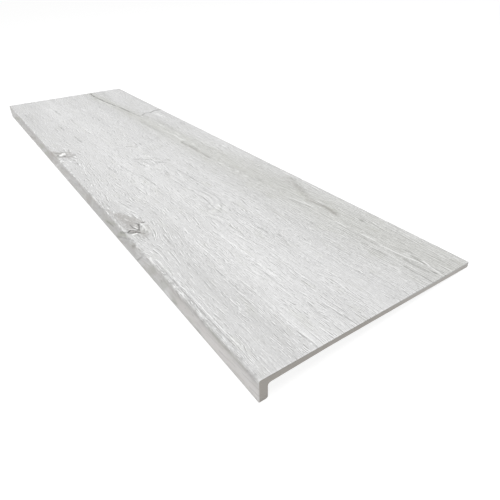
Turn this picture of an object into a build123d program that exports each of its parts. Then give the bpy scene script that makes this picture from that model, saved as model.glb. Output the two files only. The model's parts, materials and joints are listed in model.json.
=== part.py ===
"""Stair tread tile: a pressed porcelain tread whose front edge turns down into a moulded nosing lip.

The tile is one fired piece. Its L section, with a haunch behind the lip, runs the whole length, its end
arrises are eased, and its flat back has the shallow keying grooves that the adhesive grips. It lies as an
unheld tile does on a level floor: leaning back on the rear arris of the lip's foot and on the lower arris
of the rear edge.
Frame: X along the nosing, Y from the nosing to the rear edge, Z up, origin on the floor under its middle.
"""

import os
from math import asin, atan2, degrees, hypot

from build123d import *

# Driving dimensions, in millimetres
LENGTH = 1200.0  # end to end, along the nosing
DEPTH = 320.0  # nosing face to rear edge
LIP_DROP = 30.0  # tread surface to the foot of the lip
TREAD_THICKNESS = 8.0
LIP_THICKNESS = 11.0
HAUNCH_DROP = 2.0  # how much thicker the tread is where it meets the lip
HAUNCH_REACH = 75.0  # from the lip's back to where the tread is down to its own thickness

# Rounds of the section
NOSING_RADIUS = 2.5  # the edge that the foot meets
THROAT_RADIUS = 3.5  # inside corner between the lip and the haunch
HAUNCH_RADIUS = 400.0  # where the haunch runs out into the flat back
LIP_FOOT_RADIUS = 3.0  # rear arris of the lip's foot
REAR_BACK_RADIUS = 2.0  # lower arris of the rear edge
ARRIS_BEVEL = 0.8  # fine bevel on the ends, the lip's toe and the rear edge's upper arris

# Keying grooves in the back
KEY_WIDTH = 9.0
KEY_LAND = 7.0  # flat land between two grooves
KEY_DEPTH = 0.7
KEY_CORNER_RADIUS = 2.0
KEY_MARGIN = 14.0  # least plain border around the grooves


def section_outline():
    """The L section, drawn level in Y and Z with the foot of the lip at Z = 0."""
    front, rear = -DEPTH / 2, DEPTH / 2
    lip_back = front + LIP_THICKNESS
    tread_back = LIP_DROP - TREAD_THICKNESS
    corners_and_rounds = [
        ((front, 0), 0),
        ((front, LIP_DROP), NOSING_RADIUS),
        ((rear, LIP_DROP), 0),
        ((rear, tread_back), REAR_BACK_RADIUS),
        ((lip_back + HAUNCH_REACH, tread_back), HAUNCH_RADIUS),
        ((lip_back, tread_back - HAUNCH_DROP), THROAT_RADIUS),
        ((lip_back, 0), LIP_FOOT_RADIUS),
    ]
    path = FilletPolyline(
        *[corner for corner, _ in corners_and_rounds],
        radius=[radius for _, radius in corners_and_rounds],
        close=True,
    )
    return Plane.YZ * make_face(path)


def tile_blank():
    """The section pressed to length, with its sharp arrises bevelled."""
    blank = extrude(section_outline(), amount=LENGTH / 2, both=True)
    end_edges = blank.faces().filter_by(Axis.X).edges()
    long_edges = blank.edges().filter_by(Axis.X).group_by(Axis.Y)
    lip_toe = long_edges[0].sort_by(Axis.Z)[0]
    rear_top = long_edges[-1].sort_by(Axis.Z)[-1]
    return chamfer([*end_edges, lip_toe, rear_top], ARRIS_BEVEL)


def keying_grooves():
    """Parallel grooves along the tile's flat back, spread evenly between the haunch and the rear arris."""
    back_front = -DEPTH / 2 + LIP_THICKNESS + HAUNCH_REACH
    back_rear = DEPTH / 2 - REAR_BACK_RADIUS
    room = back_rear - back_front - 2 * KEY_MARGIN
    pitch = KEY_WIDTH + KEY_LAND
    count = int((room + KEY_LAND) // pitch)
    middle = (back_front + back_rear) / 2
    groove = RectangleRounded(LENGTH - 2 * KEY_MARGIN, KEY_WIDTH, KEY_CORNER_RADIUS)
    row_of_grooves = Sketch() + GridLocations(0, pitch, 1, count) * groove
    on_the_back = Pos(0, middle, LIP_DROP - TREAD_THICKNESS)
    return extrude(on_the_back * row_of_grooves, amount=KEY_DEPTH)


def lean_angle():
    """How far the tile leans back when the lip's foot and the rear edge both touch the floor, in degrees."""
    foot_y = -DEPTH / 2 + LIP_THICKNESS - LIP_FOOT_RADIUS
    foot_z = LIP_FOOT_RADIUS
    rear_y = DEPTH / 2 - REAR_BACK_RADIUS
    rear_z = LIP_DROP - TREAD_THICKNESS + REAR_BACK_RADIUS
    centres_apart = hypot(rear_y - foot_y, rear_z - foot_z)
    centres_slope = atan2(rear_z - foot_z, rear_y - foot_y)
    return degrees(centres_slope - asin((REAR_BACK_RADIUS - LIP_FOOT_RADIUS) / centres_apart))


def lay_on_floor(tile):
    """Leans the level tile back to its rest and sets its middle over the origin."""
    leaning = Rot(X=-lean_angle()) * tile
    box = leaning.bounding_box()
    return Pos(-box.center().X, -box.center().Y, -box.min.Z) * leaning


stair_tread_tile = lay_on_floor(tile_blank() - keying_grooves())

os.makedirs("parts", exist_ok=True)
export_step(stair_tread_tile, "parts/stair_tread_tile.step")
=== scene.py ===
"""Dresses the stair tread tile: a pressed porcelain tread with a turned-down nosing, printed as washed oak.

The tile is modelled level, with the middle of its tread surface at the origin: X along the nosing, Y from the
nosing to the rear edge, Z up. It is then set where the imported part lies. The print has two coordinates of its
own, in metres: u along the nosing, and v across the tread, over the nosing and down the lip.
"""

import json
from math import cos, pi, radians, sin, tan

import bmesh
import bpy
import numpy as np
from mathutils import Matrix, Vector


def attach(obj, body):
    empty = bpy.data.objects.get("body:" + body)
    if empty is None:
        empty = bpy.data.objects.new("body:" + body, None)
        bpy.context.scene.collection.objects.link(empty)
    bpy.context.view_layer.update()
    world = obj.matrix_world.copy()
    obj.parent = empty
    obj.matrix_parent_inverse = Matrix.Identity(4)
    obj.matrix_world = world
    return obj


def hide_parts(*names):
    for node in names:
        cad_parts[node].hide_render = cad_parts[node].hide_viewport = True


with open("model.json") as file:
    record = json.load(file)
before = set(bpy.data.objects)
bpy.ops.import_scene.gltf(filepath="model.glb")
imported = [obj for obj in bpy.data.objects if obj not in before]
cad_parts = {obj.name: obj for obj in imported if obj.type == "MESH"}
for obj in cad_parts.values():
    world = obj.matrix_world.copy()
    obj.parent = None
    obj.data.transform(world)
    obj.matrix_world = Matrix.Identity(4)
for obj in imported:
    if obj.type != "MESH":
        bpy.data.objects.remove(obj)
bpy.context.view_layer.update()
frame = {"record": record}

# Sizes of the tile, in metres
LENGTH = 1.200
DEPTH = 0.320
LIP_DROP = 0.030
TREAD_THICKNESS = 0.008
LIP_THICKNESS = 0.011
HAUNCH_DROP = 0.002
HAUNCH_REACH = 0.075
NOSING_RADIUS = 0.0025
THROAT_RADIUS = 0.0035
HAUNCH_RADIUS = 0.400
LIP_FOOT_RADIUS = 0.003
REAR_BACK_RADIUS = 0.002
ARRIS_BEVEL = 0.0008
KEY_WIDTH = 0.009
KEY_LAND = 0.007
KEY_DEPTH = 0.0007
KEY_CORNER_RADIUS = 0.002
KEY_MARGIN = 0.014
FRONT = -DEPTH / 2
REAR = DEPTH / 2
NOSING_MIDDLE = FRONT + NOSING_RADIUS * (1 - pi / 4)  # v at the middle of the nosing's round

# How finely the mesh is divided
ROUND_SEGMENTS = 6
ARRIS_SEGMENTS = 2
KEY_CORNER_SEGMENTS = 3
PRINT_STEPS_ALONG = 300
TREAD_STEPS_ACROSS = 240
LIP_STEPS_DOWN = 24
# Where marks are small: low and high (u, v), then how often each face is divided along and across
FINE_PATCHES = [
    ((-0.130, -0.157), (-0.076, -0.124), (4, 2)),
    ((0.250, -0.157), (0.296, -0.122), (4, 2)),
    ((0.290, 0.092), (0.530, 0.125), (1, 2)),
    ((0.530, 0.084), (0.600, 0.129), (1, 4)),
    ((-0.140, -0.200), (0.600, -0.163), (2, 1)),
]

# How the sides of the tile are told apart
SHARP_ANGLE = radians(20)  # edges that turn more than this are shaded sharp
FACES_DOWN = -0.99  # a face of the back has a normal below this
FACES_OUT = 0.3  # a printed face has a normal that looks up or to the front by more than this
WHOLE_RUN = 0.8  # an edge across the tread or down the lip takes more than this of it
TINY = 1e-6

# The map that the finishes are baked through: the part of its height that each side of the tile takes
MAP_STRIPS = {"print": (0.394, 0.996), "back": (0.082, 0.386), "rear": (0.044, 0.074), "ends": (0.004, 0.036)}
MAP_EDGE = 0.004
MAP_WALL = 0.0012  # width on the map of a groove's wall, in metres of the tile
MAP_END = 0.49  # part of the map's width that each end takes, beside the other

# The wood figure: (u, v) points along each line of it, and (u, value) points for how strongly it shows
LONG_CHECK = [
    (-0.600, 0.068), (-0.567, 0.063), (-0.517, 0.065), (-0.450, 0.070), (-0.387, 0.079), (-0.300, 0.086),
    (-0.265, 0.089), (-0.130, 0.082), (-0.020, 0.087), (0.090, 0.086), (0.200, 0.094), (0.600, 0.104),
]
LONG_CHECK_STRENGTH = [(-0.600, 1.0), (-0.470, 0.90), (-0.330, 0.70), (-0.270, 0.50), (-0.240, 0.0)]
LIMED_SEAM = [
    (-0.600, 0.061), (-0.500, 0.061), (-0.400, 0.073), (-0.300, 0.081), (-0.265, 0.086), (-0.100, 0.090),
    (0.000, 0.093), (0.320, 0.099), (0.380, 0.105), (0.430, 0.101), (0.500, 0.108), (0.570, 0.115),
    (0.600, 0.112),
]
LIMED_SEAM_STRENGTH = [
    (-0.600, 0.2), (-0.500, 0.5), (-0.330, 0.4), (-0.265, 0.6), (-0.100, 0.6), (-0.020, 0.3),
    (0.040, 0.0), (0.300, 0.0), (0.350, 0.3), (0.410, 0.2), (0.440, 0.0),
]
# The butt joint runs across the grain, so its points are (v, u) and (v, value)
BUTT_JOINT = [(0.097, -0.267), (0.110, -0.285), (0.125, -0.279), (0.140, -0.291), (0.160, -0.289)]
BUTT_JOINT_STRENGTH = [(0.092, 0.0), (0.100, 0.5), (0.110, 0.3), (0.125, 0.5), (0.140, 0.5), (0.160, 0.4)]
CORNER_SOFTNESS = 0.012  # how far the corners of a path are softened
BUTT_JOINT_SOFTNESS = 0.003

# Broad tones of the figure, in points of the same kind
STAIN_MIDDLE = [(-0.600, 0.064), (-0.300, 0.080), (0.000, 0.095), (0.300, 0.110), (0.600, 0.128)]
STAIN_REACH = [(-0.600, 0.014), (-0.300, 0.020), (0.000, 0.030), (0.300, 0.046), (0.600, 0.050)]
PALE_STREAK_MIDDLE = [(-0.600, -0.062), (0.000, -0.056), (0.383, -0.046), (0.600, -0.072)]
PALE_STREAK_REACH = 0.026
PALE_STREAK_STRENGTH = [(-0.600, 1.0), (-0.100, 0.9), (0.050, 0.2), (0.300, 0.1), (0.390, 1.0), (0.600, 1.3)]
FRONT_SHADE_FROM = -0.082
FRONT_SHADE_TO = -0.120

# How strong the fine lines of the grain are, along u and across v, and the coarse ones along u
FINE_FIGURE = [(-0.600, 0.90), (-0.200, 1.00), (0.100, 1.15), (0.350, 1.25), (0.450, 1.18), (0.600, 1.20)]
FINE_ACROSS = [(-0.160, 0.50), (-0.100, 0.62), (-0.050, 0.95), (0.040, 1.00), (0.080, 1.35), (0.160, 1.45)]
COARSE_FIGURE = [(-0.600, 1.10), (0.100, 1.30), (0.300, 1.25), (0.450, 0.60), (0.600, 0.35)]

# Areas that the saw has rippled, and the knots: middle (u, v), half width along and across the grain
RIPPLES = [
    ((0.035, -0.012), (0.085, 0.026)), ((0.290, -0.018), (0.060, 0.024)), ((-0.170, 0.030), (0.100, 0.030)),
    ((0.170, 0.020), (0.080, 0.030)), ((0.440, 0.010), (0.070, 0.035)), ((0.060, -0.100), (0.120, 0.020)),
]
KNOTS = {
    "eye_knot": ((-0.108, -0.141), (0.030, 0.017)),
    "star_knot": ((0.270, -0.141), (0.030, 0.019)),
}

# The grain's lazy waves: height, how fast they turn along u and along v, and where they start
GRAIN_WAVES = [(0.0035, 5.1, 9.0, 0.6), (0.0016, 13.7, -21.0, 2.0)]
KNOT_SPREAD = 0.75  # how much the grain spreads apart where it flows round a knot
KNOT_REACH = (2.6, 2.4)  # how far it spreads, in half widths of the knot along and across

# The knots, drawn as strokes of a brush: points (u, v), half width, strength
KNOT_SHADE = [
    ([(-0.134, -0.1590), (-0.124, -0.1545), (-0.115, -0.1490)], 0.0055, 0.72),
    ([(-0.122, -0.1590), (-0.104, -0.1560), (-0.094, -0.1580)], 0.0045, 0.60),
    ([(-0.118, -0.1450), (-0.108, -0.1360), (-0.094, -0.1310)], 0.0065, 0.50),
    ([(-0.108, -0.1520), (-0.094, -0.1450), (-0.084, -0.1360)], 0.0070, 0.48),
    ([(0.214, -0.1475), (0.226, -0.1440), (0.240, -0.1400), (0.252, -0.1360)], 0.0062, 0.64),
    ([(0.232, -0.1460), (0.246, -0.1430), (0.258, -0.1400), (0.268, -0.1410)], 0.0065, 0.70),
    ([(0.236, -0.1345), (0.248, -0.1310), (0.256, -0.1300)], 0.0040, 0.62),
    ([(0.219, -0.1475), (0.230, -0.1465), (0.237, -0.1445)], 0.0024, 0.85),
    ([(0.258, -0.1470), (0.270, -0.1470), (0.282, -0.1450)], 0.0065, 0.52),
    ([(0.190, -0.1550), (0.215, -0.1535), (0.240, -0.1525), (0.262, -0.1535)], 0.0032, 0.36),
    ([(0.275, -0.1510), (0.279, -0.1455), (0.283, -0.1410)], 0.0026, 0.95),
    ([(0.286, -0.1390), (0.298, -0.1380)], 0.0042, 0.42),
    ([(0.272, -0.1245), (0.287, -0.1280), (0.300, -0.1325)], 0.0030, 0.24),
]
KNOT_INK = [
    ([(-0.1090, -0.1535), (-0.1020, -0.1540)], 0.0017, 0.52),
    ([(-0.1225, -0.1535), (-0.1185, -0.1495), (-0.1175, -0.1455)], 0.0022, 0.40),
    ([(-0.1175, -0.1455), (-0.1205, -0.1410), (-0.1190, -0.1370)], 0.0018, 0.26),
    ([(-0.0965, -0.1455), (-0.0905, -0.1435)], 0.0019, 0.66),
    ([(-0.0980, -0.1525), (-0.0890, -0.1495)], 0.0015, 0.32),
    ([(-0.0925, -0.1285), (-0.0865, -0.1255)], 0.0020, 0.34),
    ([(-0.0905, -0.1520), (-0.0870, -0.1492), (-0.0805, -0.1510)], 0.0009, 0.22),
    ([(-0.1130, -0.1350), (-0.1135, -0.1297), (-0.1040, -0.1273)], 0.0012, 0.20),
    ([(-0.0840, -0.1380), (-0.0857, -0.1315), (-0.0866, -0.1262)], 0.0018, 0.28),
    ([(-0.1108, -0.1360), (-0.1008, -0.1380), (-0.0874, -0.1390)], 0.0010, 0.20),
    ([(0.2600, -0.1274), (0.2605, -0.1246)], 0.0014, 0.95),
    ([(0.2580, -0.1352), (0.2620, -0.1332), (0.2660, -0.1345)], 0.0014, 0.68),
    ([(0.2612, -0.1339), (0.2669, -0.1351), (0.2727, -0.1371), (0.2766, -0.1390)], 0.0010, 0.80),
    ([(0.2753, -0.1553), (0.2732, -0.1530), (0.2714, -0.1507), (0.2718, -0.1492)], 0.0013, 0.85),
    ([(0.2718, -0.1492), (0.2745, -0.1457), (0.2778, -0.1441), (0.2786, -0.1406), (0.2794, -0.1387)],
     0.0009, 0.62),
    ([(0.2765, -0.1555), (0.2802, -0.1525), (0.2806, -0.1482)], 0.0010, 0.62),
    ([(0.2806, -0.1482), (0.2827, -0.1446), (0.2858, -0.1413)], 0.0014, 0.84),
    ([(0.2858, -0.1413), (0.2899, -0.1386), (0.2918, -0.1371)], 0.0013, 0.45),
    ([(0.2549, -0.1443), (0.2612, -0.1442), (0.2660, -0.1441)], 0.0008, 0.50),
    ([(0.2660, -0.1441), (0.2694, -0.1429), (0.2736, -0.1416), (0.2780, -0.1396)], 0.0010, 0.62),
    ([(0.2685, -0.1306), (0.2703, -0.1330), (0.2768, -0.1364)], 0.0009, 0.34),
    ([(0.2755, -0.1525), (0.2785, -0.1470), (0.2815, -0.1425)], 0.0015, 0.42),
    ([(0.2660, -0.1518)], 0.0011, 0.45),
    ([(0.2412, -0.1460), (0.2450, -0.1455)], 0.0010, 0.32),
    ([(0.2102, -0.1410)], 0.0012, 0.25),
    ([(0.2141, -0.1477)], 0.0012, 0.30),
]
KNOT_WHITE = [
    ([(-0.1125, -0.1412), (-0.1055, -0.1416)], 0.0033, 1.00),
    ([(-0.1065, -0.1480), (-0.1015, -0.1488)], 0.0030, 1.00),
    ([(-0.1090, -0.1430), (-0.1040, -0.1470)], 0.0028, 1.00),
    ([(-0.1069, -0.1355), (-0.1024, -0.1307)], 0.0012, 0.35),
    ([(-0.0944, -0.1379), (-0.0911, -0.1329)], 0.0012, 0.30),
    ([(0.2850, -0.1516), (0.2849, -0.1485), (0.2848, -0.1459)], 0.0016, 0.95),
    ([(0.2645, -0.1418), (0.2678, -0.1407), (0.2718, -0.1398)], 0.0010, 0.80),
    ([(0.2676, -0.1501), (0.2694, -0.1467), (0.2717, -0.1446), (0.2748, -0.1428)], 0.0009, 0.52),
    ([(0.2604, -0.1369), (0.2646, -0.1392)], 0.0009, 0.42),
    ([(0.2660, -0.1327), (0.2647, -0.1280)], 0.0009, 0.42),
    ([(0.2780, -0.1344), (0.2810, -0.1340)], 0.0010, 0.35),
    ([(0.2351, -0.1434)], 0.0012, 0.50),
    ([(0.2394, -0.1418)], 0.0012, 0.50),
    ([(0.2494, -0.1396)], 0.0011, 0.45),
    ([(0.2540, -0.1571), (0.2590, -0.1577), (0.2685, -0.1570)], 0.0018, 0.30),
]

# The split seam along the rear and the streaks beside it, brushed in the same way
SEAM_SHADE = [
    ([(0.258, 0.1410), (0.279, 0.1465)], 0.0030, 0.32),
    ([(0.272, 0.1340), (0.298, 0.1340), (0.324, 0.1270), (0.352, 0.1205)], 0.0058, 0.32),
    ([(0.296, 0.1345), (0.322, 0.1280)], 0.0022, 0.42),
    ([(0.350, 0.1145), (0.368, 0.1175), (0.384, 0.1200), (0.399, 0.1187), (0.414, 0.1155)], 0.0034, 0.55),
    ([(-0.024, 0.0818), (0.014, 0.0837), (0.054, 0.0827), (0.097, 0.0835)], 0.0026, 0.40),
]
SEAM_INK = [
    ([(-0.020, 0.0820), (0.014, 0.0836), (0.050, 0.0828)], 0.0015, 0.28),
    ([(0.062, 0.0846), (0.097, 0.0836)], 0.0013, 0.24),
    ([(0.150, 0.0905), (0.174, 0.0935), (0.196, 0.0985)], 0.0011, 0.16),
    ([(0.236, 0.0925), (0.246, 0.1005)], 0.0012, 0.16),
    ([(0.331, 0.0935), (0.351, 0.0975), (0.371, 0.1010)], 0.0010, 0.28),
    ([(0.328, 0.1105), (0.340, 0.1120)], 0.0012, 0.22),
    ([(0.355, 0.1155), (0.370, 0.1180), (0.384, 0.1202), (0.399, 0.1186), (0.410, 0.1160)], 0.0016, 0.20),
    ([(0.430, 0.0985), (0.456, 0.0980), (0.484, 0.0985), (0.509, 0.0998)], 0.0010, 0.26),
    ([(0.4475, 0.1321), (0.4515, 0.1322)], 0.0022, 0.14),
    ([(0.5505, 0.1144), (0.5570, 0.1138), (0.5635, 0.1132), (0.5710, 0.1132)], 0.0009, 0.46),
    ([(0.5775, 0.1139), (0.5820, 0.1137), (0.5885, 0.1139), (0.5950, 0.1148)], 0.0009, 0.52),
    ([(0.5875, 0.1062), (0.5910, 0.1069), (0.5940, 0.1092)], 0.0009, 0.46),
    ([(0.5840, 0.1238), (0.5980, 0.1232)], 0.0006, 0.38),
    ([(0.5510, 0.1001), (0.5660, 0.1002), (0.5785, 0.1010), (0.5830, 0.1023)], 0.0018, 0.18),
    ([(0.5565, 0.0876), (0.5680, 0.0885), (0.5795, 0.0885), (0.5875, 0.0892), (0.5985, 0.0892)],
     0.0008, 0.30),
    ([(0.5345, 0.1186), (0.5390, 0.1188), (0.5465, 0.1191)], 0.0010, 0.34),
    ([(0.5825, 0.0629), (0.5865, 0.0616)], 0.0010, 0.30),
]
SEAM_WHITE = [
    ([(-0.116, 0.0860), (-0.076, 0.0910), (-0.031, 0.0930)], 0.0013, 0.40),
    ([(0.129, 0.0850), (0.136, 0.0860)], 0.0013, 0.55),
    ([(0.154, 0.0855), (0.163, 0.0860)], 0.0012, 0.50),
    ([(0.182, 0.0880), (0.189, 0.0885)], 0.0012, 0.50),
    ([(0.208, 0.0885), (0.215, 0.0885)], 0.0012, 0.45),
    ([(0.246, 0.0895), (0.254, 0.0895)], 0.0011, 0.40),
    ([(0.325, 0.0970), (0.343, 0.1010), (0.360, 0.1040), (0.373, 0.1055)], 0.0010, 0.55),
    ([(0.426, 0.1007), (0.4375, 0.1013), (0.450, 0.1009)], 0.0010, 0.60),
    ([(0.474, 0.1035), (0.486, 0.1050), (0.497, 0.1060)], 0.0009, 0.85),
    ([(0.509, 0.1023), (0.529, 0.1042), (0.541, 0.1061)], 0.0009, 0.75),
    ([(0.5370, 0.1112), (0.5420, 0.1115), (0.5475, 0.1122)], 0.0007, 0.60),
    ([(0.5400, 0.1061), (0.5460, 0.1065), (0.5520, 0.1082), (0.5575, 0.1091), (0.5695, 0.1107)],
     0.0008, 0.85),
    ([(0.5655, 0.1161), (0.5705, 0.1154), (0.5765, 0.1129), (0.5830, 0.1123), (0.5935, 0.1114)],
     0.0009, 0.90),
    ([(0.5935, 0.1110), (0.5970, 0.1078)], 0.0012, 0.45),
    ([(0.5960, 0.1162), (0.5980, 0.1158)], 0.0008, 0.50),
    ([(0.5825, 0.1258), (0.5900, 0.1256), (0.6000, 0.1251)], 0.0006, 0.55),
    ([(0.5875, 0.1218), (0.5945, 0.1212)], 0.0006, 0.50),
    ([(0.5670, 0.1443), (0.5800, 0.1435)], 0.0008, 0.30),
    ([(0.5790, 0.0663), (0.5805, 0.0680)], 0.0010, 0.60),
    ([(0.5825, 0.0875), (0.5885, 0.0875)], 0.0006, 0.35),
]

# The swirl of the figure in the middle of the tread, brushed in the same way
SWIRL_INK = [
    ([(0.206, -0.008), (0.228, -0.004), (0.248, -0.003), (0.267, -0.007), (0.282, -0.021), (0.285, -0.034)],
     0.0012, 0.21),
    ([(0.218, 0.001), (0.250, 0.006), (0.274, 0.002), (0.291, -0.010), (0.303, -0.026)], 0.0012, 0.19),
    ([(0.230, -0.014), (0.252, -0.011), (0.266, -0.017), (0.272, -0.028)], 0.0011, 0.18),
    ([(0.245, -0.025), (0.265, -0.022), (0.282, -0.027)], 0.0011, 0.19),
    ([(0.298, -0.033), (0.312, -0.025), (0.330, -0.022)], 0.0012, 0.19),
    ([(0.299, -0.042), (0.319, -0.036), (0.339, -0.035)], 0.0012, 0.18),
    ([(0.118, -0.025), (0.171, -0.020), (0.203, -0.017), (0.257, -0.014)], 0.0009, 0.21),
    ([(0.120, -0.014), (0.183, -0.011), (0.234, -0.008)], 0.0009, 0.18),
    ([(0.006, -0.041), (0.021, -0.030), (0.060, -0.022), (0.055, -0.004), (0.051, 0.017)], 0.0013, 0.24),
    ([(-0.024, 0.002), (-0.014, 0.024), (-0.033, 0.049)], 0.0013, 0.18),
    ([(-0.096, 0.033), (-0.075, 0.038), (-0.085, 0.057)], 0.0013, 0.18),
]
SWIRL_WHITE = [
    ([(0.224, -0.001), (0.248, 0.002), (0.270, -0.002), (0.287, -0.015), (0.294, -0.029)], 0.0012, 0.33),
    ([(0.222, -0.009), (0.250, -0.007), (0.270, -0.012), (0.278, -0.026)], 0.0012, 0.30),
    ([(0.232, 0.010), (0.258, 0.012), (0.284, 0.006), (0.302, -0.010)], 0.0012, 0.27),
    ([(0.296, -0.037), (0.314, -0.030), (0.334, -0.028)], 0.0012, 0.30),
]

# Marks of the wood drawn one by one: middle (u, v), half length and half width, slope in degrees, strength
SMEARS = [
    ((0.270, 0.148), (0.007, 0.004), 0, 0.8), ((0.300, 0.1365), (0.030, 0.006), -16, 0.6),
    ((0.337, 0.122), (0.008, 0.0035), 0, 0.6), ((0.390, 0.1182), (0.020, 0.0042), -3, 1.0),
    ((0.448, 0.1343), (0.005, 0.0040), 0, 0.9), ((0.558, 0.1030), (0.042, 0.0034), 2, 0.6),
    ((0.243, 0.100), (0.014, 0.0035), 4, 0.5), ((0.105, 0.0350), (0.030, 0.0018), 0, 0.6),
    ((0.165, 0.0965), (0.030, 0.0022), 4, 0.5), ((-0.113, 0.0940), (0.014, 0.0034), -4, 0.6),
    ((-0.023, 0.0850), (0.009, 0.0034), 0, 0.7), ((0.023, 0.0866), (0.022, 0.0024), 0, 1.0),
    ((0.0725, 0.0866), (0.016, 0.0030), 0, 0.6), ((-0.140, 0.1450), (0.014, 0.0060), 0, 0.4),
    ((0.5015, 0.0880), (0.020, 0.0024), 1, 0.5), ((-0.535, 0.0955), (0.065, 0.0050), -4, 0.4),
    ((-0.175, 0.0750), (0.065, 0.0050), 2, 0.5), ((-0.165, 0.1100), (0.050, 0.0050), -2, 0.5),
    ((-0.255, 0.0990), (0.020, 0.0045), -8, 0.5), ((-0.350, 0.0730), (0.060, 0.0040), 4, 0.5),
]
INK_STROKES = [
    ((0.020, -0.025), (0.020, 0.0021), 47, 0.78), ((0.056, -0.003), (0.012, 0.0029), 40, 0.65),
    ((-0.062, -0.013), (0.012, 0.0024), 38, 0.65), ((0.038, -0.038), (0.026, 0.0019), 2, 0.78),
    ((0.112, -0.017), (0.014, 0.0032), -14, 0.65), ((0.118, -0.057), (0.032, 0.0018), 4, 0.65),
    ((-0.022, -0.072), (0.024, 0.0018), -2, 0.59), ((0.070, -0.067), (0.042, 0.0018), 6, 0.59),
    ((-0.180, -0.091), (0.028, 0.0022), 1, 0.78), ((0.035, -0.092), (0.022, 0.0019), 4, 0.59),
    ((0.145, 0.008), (0.050, 0.0016), 3, 0.65), ((0.410, 0.012), (0.022, 0.0012), -12, 0.4),
    ((-0.335, -0.060), (0.024, 0.0024), -2, 0.52), ((-0.430, -0.070), (0.030, 0.0024), 1, 0.52),
    ((-0.290, -0.098), (0.022, 0.0022), 2, 0.59), ((0.5285, 0.0894), (0.008, 0.0010), 0, 0.7),
    ((0.501, 0.1183), (0.005, 0.0011), 0, 0.8), ((0.460, -0.1540), (0.100, 0.0009), 0, 0.6),
    ((0.480, -0.0570), (0.024, 0.0010), 0, 0.35), ((0.565, -0.0560), (0.032, 0.0010), 0, 0.35),
    ((0.565, -0.0535), (0.024, 0.0009), 0, 0.3), ((0.450, -0.1010), (0.030, 0.0010), 1, 0.6),
    ((0.545, -0.0520), (0.010, 0.0009), 0, 0.5),
]
LIME_STROKES = [
    ((0.0580, -0.0300), (0.0160, 0.0026), 6, 0.41), ((0.0100, -0.0100), (0.0140, 0.0026), 40, 0.35),
    ((-0.0450, -0.0040), (0.0140, 0.0026), -10, 0.35), ((0.1300, 0.0000), (0.0180, 0.0022), -8, 0.35),
    ((-0.4200, -0.0220), (0.0180, 0.0029), -4, 0.35), ((-0.4150, -0.0050), (0.0140, 0.0032), 0, 0.45),
    ((-0.4800, -0.0760), (0.0240, 0.0022), 1, 0.35), ((-0.2400, -0.0550), (0.0300, 0.0022), 2, 0.29),
    ((-0.1300, -0.0450), (0.0400, 0.0026), 1, 0.29), ((0.4200, -0.0520), (0.0700, 0.0016), 1, 0.50),
    ((0.5035, 0.1215), (0.0050, 0.0011), 0, 0.90), ((-0.1560, 0.0995), (0.0170, 0.0022), 0, 0.91),
    ((-0.0815, 0.1013), (0.0150, 0.0021), -3, 1.00), ((-0.1075, 0.0905), (0.0100, 0.0021), -6, 1.00),
    ((-0.0700, 0.0925), (0.0100, 0.0021), -4, 1.00), ((-0.0380, 0.0885), (0.0110, 0.0022), -8, 1.00),
    ((0.0025, 0.0955), (0.0080, 0.0026), -4, 0.91), ((-0.4500, 0.0650), (0.0500, 0.0019), 6, 0.91),
    ((-0.2620, 0.0925), (0.0080, 0.0032), 20, 0.78), ((-0.2470, 0.1330), (0.0160, 0.0060), 0, 0.50),
    ((0.4700, -0.1505), (0.1150, 0.0007), 0, 0.60), ((0.3800, -0.0900), (0.0220, 0.0009), 2, 0.70),
    ((0.5600, -0.0870), (0.0360, 0.0009), 0, 0.35), ((0.3460, 0.1110), (0.0300, 0.0008), -4, 0.80),
    ((0.4080, 0.1075), (0.0160, 0.0008), -6, 0.70),
]

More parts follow.
